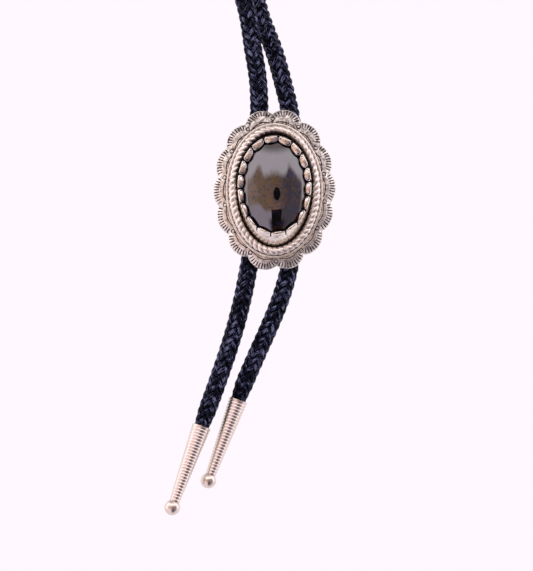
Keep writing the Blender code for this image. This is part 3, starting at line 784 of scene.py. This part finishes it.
def make_bezel(material):
    """The cup round the stone: a leaning wall, and a rim of raised ovals folded over the stone."""
    columns = TEETH * COLUMNS_PER_TOOTH
    index = np.arange(columns + 1)
    shares = (index / columns + TOOTH_TURN / TEETH) % 1.0
    local = (index / COLUMNS_PER_TOOTH) % 1.0 * 2.0 - 1.0
    bulge = np.sqrt(np.clip(1.0 - (0.995 * local) ** 2, 0.0, 1.0))
    top_x, top_z = ellipse(*WALL_TOP_HALVES, shares)
    foot_x, foot_z = ellipse(*WALL_FOOT_HALVES, shares)
    reach = RIM_REACH + RIM_BULGE * bulge + RIM_TOP_REACH * top_z / np.hypot(top_x, top_z)
    # Where the cuts between the ovals are, where the upper wall is painted dark as shade, and where the
    # lowest ovals are, which are painted dark as shade towards the stone
    slit = groove(np.abs(local) - 1.0, SLIT_HALF)
    # Painted shade on the wall, from none low on the cup to full on its upper part
    upper_wall_shade = smoothstep(-3.0, 7.0, top_z)
    foot = 1.0 - smoothstep(-14.0, -8.0, top_z)
    rows, stains = [], []

    def add_row(height, inset, stain):
        level = np.broadcast_to(np.asarray(height, float), shares.shape)
        raised = min(max(float(np.mean(level)) / SHOULDER, 0.0), 1.0)
        spread = 1.0 - raised**1.5
        x = top_x + (foot_x - top_x) * spread
        z = top_z + (foot_z - top_z) * spread
        shrink = 1.0 - inset / np.hypot(x, z)
        up = WALL_FOOT_UP + (WALL_TOP_UP - WALL_FOOT_UP) * raised
        rows.append(np.stack([x * shrink, PLATE_FACE - level, z * shrink + up], axis=1))
        stains.append(np.broadcast_to(np.asarray(stain, float), shares.shape))

    def stone_height(inset):
        shrink = 1.0 - inset / np.hypot(top_x, top_z)
        out = np.hypot(top_x * shrink, (top_z * shrink + WALL_TOP_UP - STONE_CENTRE_UP) / STONE_STRETCH)
        return DOME_TOP - DOME_RADIUS + np.sqrt(DOME_RADIUS**2 - out**2)

    # Up the wall, and over its shoulder
    for height, stain in WALL_SECTION:
        add_row(height, 0.0, np.maximum(stain, upper_wall_shade))
    add_row(3.9, 0.06 * slit, np.maximum(upper_wall_shade, slit))
    notch = np.maximum(slit, (1.0 - foot) * smoothstep(0.74, 0.92, np.abs(local)))
    add_row(4.2, 0.02 + 0.14 * slit, np.maximum(0.4 * upper_wall_shade, notch))
    add_row(4.42 - 0.1 * notch, 0.08 + 0.18 * slit, notch)
    add_row(4.56 - 0.2 * notch, 0.18 + 0.12 * slit, notch)

    # Across the rim, with an oval on each tooth and a line on each oval
    edge = stone_height(reach) + RIM_ON_STONE - 0.3 * foot
    width = reach - RIM_INSET
    half_along, half_across = OVAL_HALVES
    for i in range(RIM_ROWS + 1):
        b = i / RIM_ROWS  # from 0 at the wall to 1 at the stone
        base = RIM_HEIGHT + (edge - RIM_HEIGHT) * b - 0.1 * b**6
        oval = np.sqrt(np.abs(local / half_along) ** 1.6 + ((b - OVAL_MIDDLE) / half_across) ** 2)
        swell = OVAL_SWELL * np.clip(1.0 - oval**2, 0.0, 1.0)
        line = 0.6 * groove((oval - OVAL_LINE) * half_across * width, 0.09)
        beyond = smoothstep(1.0, 1.12, oval) * (1.0 - foot * (b < 0.48))
        # Painted shadow of the gap along the rim's inner edge, against the stone
        lip_gap_shadow = 1.0 - smoothstep(0.0, 0.14, (1.0 - b) * width)
        # Painted shade on the lowest ovals, on their halves towards the stone
        shade = 0.85 * foot * smoothstep(0.22, 0.5, b)
        cut = 0.08 * line + 0.32 * np.maximum(slit, beyond) + 0.12 * lip_gap_shadow
        dark = np.maximum.reduce([line, slit, lip_gap_shadow, shade, beyond])
        add_row(base + swell - cut, RIM_INSET + width * b, dark)

    # Down to the stone, painted dark there as the shadow in the gap, and back inside under it
    add_row(stone_height(reach) + 0.14, reach + 0.02, 0.8)
    for height, inset in HIDDEN_WALL:
        add_row(height, inset, 1.0)
    rows.append(rows[0])
    stains.append(stains[0])
    bm = new_bmesh("stain")
    lay_grid(bm, np.array(rows), stain=np.array(stains))
    finish_piece("bezel", bm, material, ["slide_setting"])


def spin_profile(profile, steps, matrix):
    """A profile of radius and height, in millimetres, turned about its own Z and then placed."""
    bm = new_bmesh()
    verts = [bm.verts.new((radius * MM, 0.0, height * MM)) for radius, height in profile]
    edges = [bm.edges.new(pair) for pair in zip(verts, verts[1:])]
    bmesh.ops.spin(
        bm, geom=verts + edges, cent=(0.0, 0.0, 0.0), axis=(0.0, 0.0, 1.0),
        angle=TAU, steps=steps, use_merge=True,
    )
    bmesh.ops.remove_doubles(bm, verts=bm.verts, dist=WELD)
    bmesh.ops.transform(bm, matrix=matrix, verts=bm.verts)
    return bm


def make_stone(material):
    """A cabochon: part of a ball turned about the view's line, and drawn out upright to an oval."""
    widest = math.asin(STONE_HALF_WIDTH / DOME_RADIUS)
    profile = []
    for i in range(DOME_STEPS + 1):
        angle = widest * i / DOME_STEPS
        profile.append((DOME_RADIUS * math.sin(angle), DOME_TOP - DOME_RADIUS * (1 - math.cos(angle))))
    profile += [(STONE_HALF_WIDTH * share, height) for share, height in STONE_SIDE]
    profile.append((0.0, STONE_SIDE[-1][1]))
    place = Matrix.Translation((0.0, PLATE_FACE * MM, STONE_CENTRE_UP * MM))
    stretch = Matrix.Diagonal((1.0, 1.0, STONE_STRETCH, 1.0))
    turn = Matrix.Rotation(math.radians(90), 4, "X")
    bm = spin_profile(profile, STONE_STEPS, place @ stretch @ turn)
    finish_piece("cabochon", bm, material, ["stone"], sharp=math.radians(50))


def tip_profile():
    """From the bottom of the socket up to the mouth, and down over the rings and the ball."""
    ringed = TIP_RINGS * TIP_RING_PITCH
    mouth, bottom = TIP_SOCKET_RADII
    profile = [(0.0, -TIP_SOCKET_DEPTH), (bottom, -TIP_SOCKET_DEPTH)]
    profile += [(mouth, -0.08), (mouth + 0.08, 0.0)]
    profile += [(TIP_MOUTH_RADIUS - 0.1, 0.0), (TIP_MOUTH_RADIUS - 0.02, -0.05)]
    half = TIP_RING_STEPS / 2
    for i in range(TIP_RINGS * TIP_RING_STEPS + 1):
        fall = max(TIP_LIP, i * TIP_RING_PITCH / TIP_RING_STEPS)
        radius = TIP_MOUTH_RADIUS + (TIP_NECK_RADIUS - TIP_MOUTH_RADIUS) * fall / ringed
        ridge = abs(math.sin(math.pi * fall / TIP_RING_PITCH))
        if i < half:
            ridge = max(ridge, 1.0 - i / half)
        profile.append((radius - TIP_GROOVE * (1.0 - ridge), -fall))
    waist = TIP_NECK_RADIUS * TIP_WAIST_SHARE
    centre = TIP_LENGTH - TIP_BALL_RADIUS
    start = math.pi - math.asin(waist / TIP_BALL_RADIUS)
    for i in range(TIP_BALL_STEPS + 1):
        angle = start * (1 - i / TIP_BALL_STEPS)
        profile.append((TIP_BALL_RADIUS * math.sin(angle), -(centre + TIP_BALL_RADIUS * math.cos(angle))))
    return profile


def make_tip(side, material):
    """A turned tip on the line that its cord ends with, with its mouth at the route's last point."""
    points = [Vector(p) for p in TAIL_ROUTES[side]]
    down = (points[-1] - points[-2]).normalized()
    turn = Vector((0.0, 0.0, -1.0)).rotation_difference(down).to_matrix().to_4x4()
    mouth = (points[-1] + Vector((0.0, CORD_BACK, 0.0))) * MM
    bm = spin_profile(tip_profile(), TIP_STEPS, Matrix.Translation(mouth) @ turn)
    return finish_piece(f"ringed_tip_{side}", bm, material, [f"tip_{side}"])


def make_clip(material):
    """The clip behind the plate: a flat base and two rolled tubes for the cords."""
    bm = new_bmesh()
    size = Matrix.Diagonal((CLIP_BASE[0] * MM, CLIP_BASE[1] * MM, CLIP_LENGTH * MM, 1.0))
    middle = (CLIP_BASE_FRONT + CLIP_BASE[1] / 2) * MM
    bmesh.ops.create_cube(bm, size=1.0, matrix=Matrix.Translation((0.0, middle, 0.0)) @ size)
    bmesh.ops.bevel(
        bm, geom=bm.edges[:], offset=CLIP_BEVEL * MM, segments=3, profile=0.5,
        affect="EDGES", material=-1,
    )
    half = CLIP_LENGTH / 2
    low = half - CLIP_CHAMFER
    inner, outer = CLIP_BORE + CLIP_CHAMFER, CLIP_TUBE - CLIP_CHAMFER
    wall = [(CLIP_BORE, low), (inner, half), (outer, half), (CLIP_TUBE, low), (CLIP_TUBE, -low)]
    wall += [(outer, -half), (inner, -half), (CLIP_BORE, -low), (CLIP_BORE, low)]
    for side in (-1.0, 1.0):
        place = Matrix.Translation((side * CLIP_CORD * MM, CORD_BACK * MM, 0.0))
        tube = spin_profile(wall, CLIP_STEPS, place)
        mesh = bpy.data.meshes.new("tube")
        tube.to_mesh(mesh)
        tube.free()
        bm.from_mesh(mesh)
        bpy.data.meshes.remove(mesh)
    finish_piece(
        "rolled_clip", bm, material, ["cord_clip"], sharp=math.radians(40)
    )


# Studio

def make_camera():
    data = bpy.data.cameras.new("camera")
    data.sensor_width = SENSOR
    data.lens = SENSOR * CAMERA_DISTANCE / FRAME_HEIGHT
    data.clip_start = 0.01
    camera = bpy.data.objects.new("camera", data)
    camera.location = SLIDE_CENTRE + CAMERA_AIM + TO_CAMERA * CAMERA_DISTANCE
    camera.rotation_euler = (-TO_CAMERA).to_track_quat("-Z", "Y").to_euler()
    bpy.context.scene.collection.objects.link(camera)
    bpy.context.scene.camera = camera


def plain_material(name, colour, roughness):
    """A dull colour with the faintest clouds, for the floor and the cards."""
    material, tree, shader = shaded_material(name, {"Roughness": roughness})
    place = add_node(tree, "ShaderNodeTexCoord", -600, 0).outputs["Object"]
    clouds = noise(tree, -400, 0, place, {"Scale": 3.0})
    dim = tuple(c * 0.98 for c in colour)
    tones = ramp(tree, -200, 0, clouds, [(0.0, (*colour, 1.0)), (1.0, (*dim, 1.0))])
    tree.links.new(tones, shader.inputs["Base Color"])
    return material


def stage_card(name, centre, size, facing, material, sides=4):
    """A flat card that only shows in reflections: a width by a height, or an oval's two radii."""
    bm = bmesh.new()
    bmesh.ops.create_circle(bm, cap_ends=True, segments=sides, radius=1.0)
    if sides == 4:
        bmesh.ops.rotate(bm, verts=bm.verts, matrix=Matrix.Rotation(math.radians(45), 3, "Z"))
        bmesh.ops.scale(bm, verts=bm.verts, vec=(math.sqrt(0.5), math.sqrt(0.5), 1.0))
    bmesh.ops.scale(bm, verts=bm.verts, vec=(size[0], size[1], 1.0))
    turn = (-Vector(facing)).to_track_quat("-Z", "Y").to_matrix().to_4x4()
    bmesh.ops.transform(bm, verts=bm.verts, matrix=Matrix.Translation(centre) @ turn)
    mesh = bpy.data.meshes.new(name)
    bm.to_mesh(mesh)
    bm.free()
    mesh.materials.append(material)
    card = bpy.data.objects.new(name, mesh)
    card.visible_camera = False
    card.visible_shadow = False
    card.visible_diffuse = False
    bpy.context.scene.collection.objects.link(card)


def make_world():
    """A pale tent all round. Its front is open on a dimmer, warm room, darker on the right.

    The room's top edge rises to a corner on each side, and under it is a floor with a dark pool.
    """
    tent_light = (1.0, 0.9, 0.98, 1.0)
    tent_behind = (0.52, 0.48, 0.5, 1.0)
    tent_overhead = (0.3, 0.27, 0.27, 1.0)
    tent_floor = (0.55, 0.49, 0.52, 1.0)
    pool_dark = (0.02, 0.014, 0.014, 1.0)
    blue_speck = (0.12, 0.12, 0.21, 1.0)
    amber_speck = (0.42, 0.22, 0.1, 1.0)
    seen_backdrop = (1.0, 0.939, 1.0, 1.0)
    world = bpy.data.worlds.new("studio")
    bpy.context.scene.world = world
    world.use_nodes = True
    tree = world.node_tree
    tree.nodes.clear()

    # Where a ray goes: up, and on the level ahead and across
    place = add_node(tree, "ShaderNodeTexCoord", -1600, 0).outputs["Generated"]
    right, back, up = add_node(tree, "ShaderNodeSeparateXYZ", -1400, 0, {0: place}).outputs
    squared = math_node(tree, "MULTIPLY", -1300, -200, up, up)
    rest = math_node(tree, "SUBTRACT", -1200, -200, 1.0001, squared)
    level = math_node(tree, "SQRT", -1000, -200, rest)
    front = math_node(tree, "MULTIPLY", -1000, -50, back, -1.0)
    ahead = math_node(tree, "DIVIDE", -800, -100, front, level)
    across = math_node(tree, "DIVIDE", -800, -300, right, level)
    side = math_node(tree, "MULTIPLY_ADD", -600, -300, across, 0.5, 0.5)
    open_front = ease(tree, -600, -100, ahead, 0.2, 0.36)

    # The room's top edge, which rises to two corners, and its lower edge
    aside = math_node(tree, "ABSOLUTE", -800, 500, across)
    fall = math_node(tree, "MULTIPLY", -500, 620, ease(tree, -600, 620, aside, 0.72, 0.93), -1.4)
    corner = math_node(tree, "ADD", -400, 620, ease(tree, -600, 500, aside, 0.46, 0.68), fall)
    arch = math_node(tree, "SUBTRACT", -500, 560, 1.0, ease(tree, -600, 560, aside, 0.0, 0.46))
    shift = math_node(tree, "MULTIPLY", -500, 500, corner, 0.17)
    lifted = math_node(tree, "MULTIPLY_ADD", -400, 560, arch, 0.06, shift)
    ragged = noise(tree, -1000, 700, place, {"Scale": 5.0, "Detail": 4.0})
    wander = math_node(tree, "MULTIPLY", -800, 700, ragged, 0.16)
    high = math_node(tree, "SUBTRACT", -300, 600, math_node(tree, "ADD", -400, 650, up, wander), lifted)
    below_top = math_node(tree, "SUBTRACT", -200, 450, 1.0, ease(tree, -300, 450, high, 0.33, 0.54))
    raised = math_node(tree, "MULTIPLY", -500, 380, ease(tree, -600, 380, aside, 0.4, 0.72), 0.2)
    low_line = math_node(tree, "SUBTRACT", -400, 300, up, raised)
    above_low = ease(tree, -300, 300, low_line, -0.47, -0.34)
    room = math_node(tree, "MULTIPLY", 0, 300, below_top, open_front)
    under = math_node(tree, "SUBTRACT", -300, 300, 1.0, above_low)

    # The room's tones from left to right, mottled with blue and amber specks
    drift = math_node(tree, "MULTIPLY_ADD", -500, -450, ragged, 0.3, side)
    room_tones = ramp(
        tree, -300, -300, math_node(tree, "SUBTRACT", -400, -450, drift, 0.15),
        [
            (0.06, (0.6, 0.45, 0.37, 1.0)),
            (0.18, (0.46, 0.29, 0.2, 1.0)),
            (0.5, (0.36, 0.225, 0.15, 1.0)),
            (0.6, (0.29, 0.185, 0.13, 1.0)),
            (0.74, (0.12, 0.1, 0.14, 1.0)),
            (0.95, (0.15, 0.125, 0.165, 1.0)),
        ],
    )
    squat = add_node(
        tree, "ShaderNodeMapping", -800, -800, {"Vector": place, "Scale": (1.0, 1.0, 2.0)}
    )
    specks = noise(tree, -600, -800, squat.outputs["Vector"], {"Scale": 11.0, "Detail": 3.0})
    blue = math_node(tree, "MULTIPLY", -300, -800, ease(tree, -450, -800, specks, 0.5, 0.62), 0.6)
    mottled = layer(tree, -150, -700, blue, room_tones, blue_speck)
    amber = math_node(tree, "MULTIPLY", -300, -950, ease(tree, -450, -950, specks, 0.5, 0.38), 0.5)
    mottled = layer(tree, 0, -800, amber, mottled, amber_speck)

    # The floor's tones from left to right, and the tent's darker back and top
    low_tones = ramp(
        tree, -300, -600, side, [(0.5, (0.64, 0.53, 0.63, 1.0)), (0.7, (0.16, 0.13, 0.17, 1.0))]
    )
    behind = math_node(tree, "SUBTRACT", -500, 700, 1.0, ease(tree, -600, 700, ahead, -0.55, 0.1))
    tent = layer(tree, -300, 800, behind, tent_light, tent_behind)
    overhead = ease(tree, -300, 950, up, 0.74, 0.92)
    tent = layer(tree, -100, 900, overhead, tent, tent_overhead)

    # The dark pool, in the middle of the floor
    lean = math_node(tree, "ABSOLUTE", -500, -1100, math_node(tree, "SUBTRACT", -600, -1100, across, 0.15))
    middle = math_node(tree, "SUBTRACT", -300, -1100, 1.0, ease(tree, -400, -1100, lean, 0.26, 0.6))
    deep = math_node(tree, "MULTIPLY", -200, -1200, ease(tree, -400, -1200, up, -0.5, -0.66), open_front)
    pool = math_node(tree, "MULTIPLY", -100, -1100, middle, deep)

    # All of it together. The camera itself sees a plain backdrop.
    below = layer(tree, 0, -500, open_front, tent_floor, low_tones)
    below = layer(tree, 100, -500, pool, below, pool_dark)
    colour = layer(tree, 150, 0, room, tent, mottled)
    colour = layer(tree, 250, -200, under, colour, below)
    lit = add_node(tree, "ShaderNodeBackground", 350, -100, {"Color": colour, "Strength": 2.0})
    seen = add_node(
        tree, "ShaderNodeBackground", 350, 100, {"Color": seen_backdrop, "Strength": 1.0}
    )
    path = add_node(tree, "ShaderNodeLightPath", 350, 500)
    mix = add_node(
        tree, "ShaderNodeMixShader", 600, 0,
        {"Fac": path.outputs["Is Camera Ray"], 1: lit.outputs[0], 2: seen.outputs[0]},
    )
    add_node(tree, "ShaderNodeOutputWorld", 800, 0, {"Surface": mix.outputs["Shader"]})


def make_studio():
    make_world()
    bpy.context.scene.view_settings.view_transform = "Standard"
    pale = plain_material("pale_floor", (0.85, 0.82, 0.84), 0.7)
    bm = bmesh.new()
    bmesh.ops.create_grid(bm, x_segments=4, y_segments=4, size=FLOOR_HALF)
    bmesh.ops.translate(bm, verts=bm.verts, vec=(0.0, 0.0, SLIDE_CENTRE.z - FLOOR_DROP))
    mesh = bpy.data.meshes.new("floor")
    bm.to_mesh(mesh)
    bm.free()
    mesh.materials.append(pale)
    floor = bpy.data.objects.new("floor", mesh)
    floor.visible_glossy = False
    bpy.context.scene.collection.objects.link(floor)
    black = plain_material("black_card", (0.004, 0.004, 0.005), 0.9)
    lens = SLIDE_CENTRE + TO_CAMERA * LENS_DISTANCE + LENS_SHIFT
    stage_card("lens_card", lens, LENS_RADII, -TO_CAMERA, black, sides=48)
    stage_card("stand_card", SLIDE_CENTRE + STAND_PLACE, STAND_SIZE, FORWARD, black)


make_camera()
metal_group = aged_metal_group()
silver = metal_material(
    "antique_silver", metal_group,
    {
        "Clean Colour": (0.83, 0.79, 0.72, 1.0), "Tarnish And Shade Colour": (0.022, 0.016, 0.014, 1.0),
        "Clouds": 0.42, "Cloud Size": 1.1, "Clean Roughness": 0.4, "Tarnish And Shade Roughness": 0.55,
        "Pits": 0.5,
    },
    0.00024,
)
bezel_silver = metal_material(
    "bezel_silver", metal_group,
    {
        "Clean Colour": (0.86, 0.81, 0.74, 1.0), "Tarnish And Shade Colour": (0.015, 0.011, 0.01, 1.0),
        "Clouds": 0.4, "Cloud Size": 0.9, "Clean Roughness": 0.24, "Tarnish And Shade Roughness": 0.5,
        "Pits": 0.5,
    },
    0.00012,
)
nickel = metal_material(
    "bright_nickel", metal_group,
    {
        "Clean Colour": (0.73, 0.66, 0.59, 1.0), "Tarnish And Shade Colour": (0.2, 0.17, 0.15, 1.0),
        "Clouds": 0.1, "Cloud Size": 3.5, "Clean Roughness": 0.32, "Tarnish And Shade Roughness": 0.35,
        "Pits": 0.3,
    },
    0.00004,
)
braid = cord_material()
gem = stone_material()

tips = {side: make_tip(side, nickel) for side in ("left", "right")}
for side, tip in tips.items():
    tail, path = make_tail(side, braid)
make_neck(braid)
make_plate(silver)
make_wire(silver)
make_rope(silver)
make_bezel(bezel_silver)
make_stone(gem)
make_clip(silver)
make_studio()
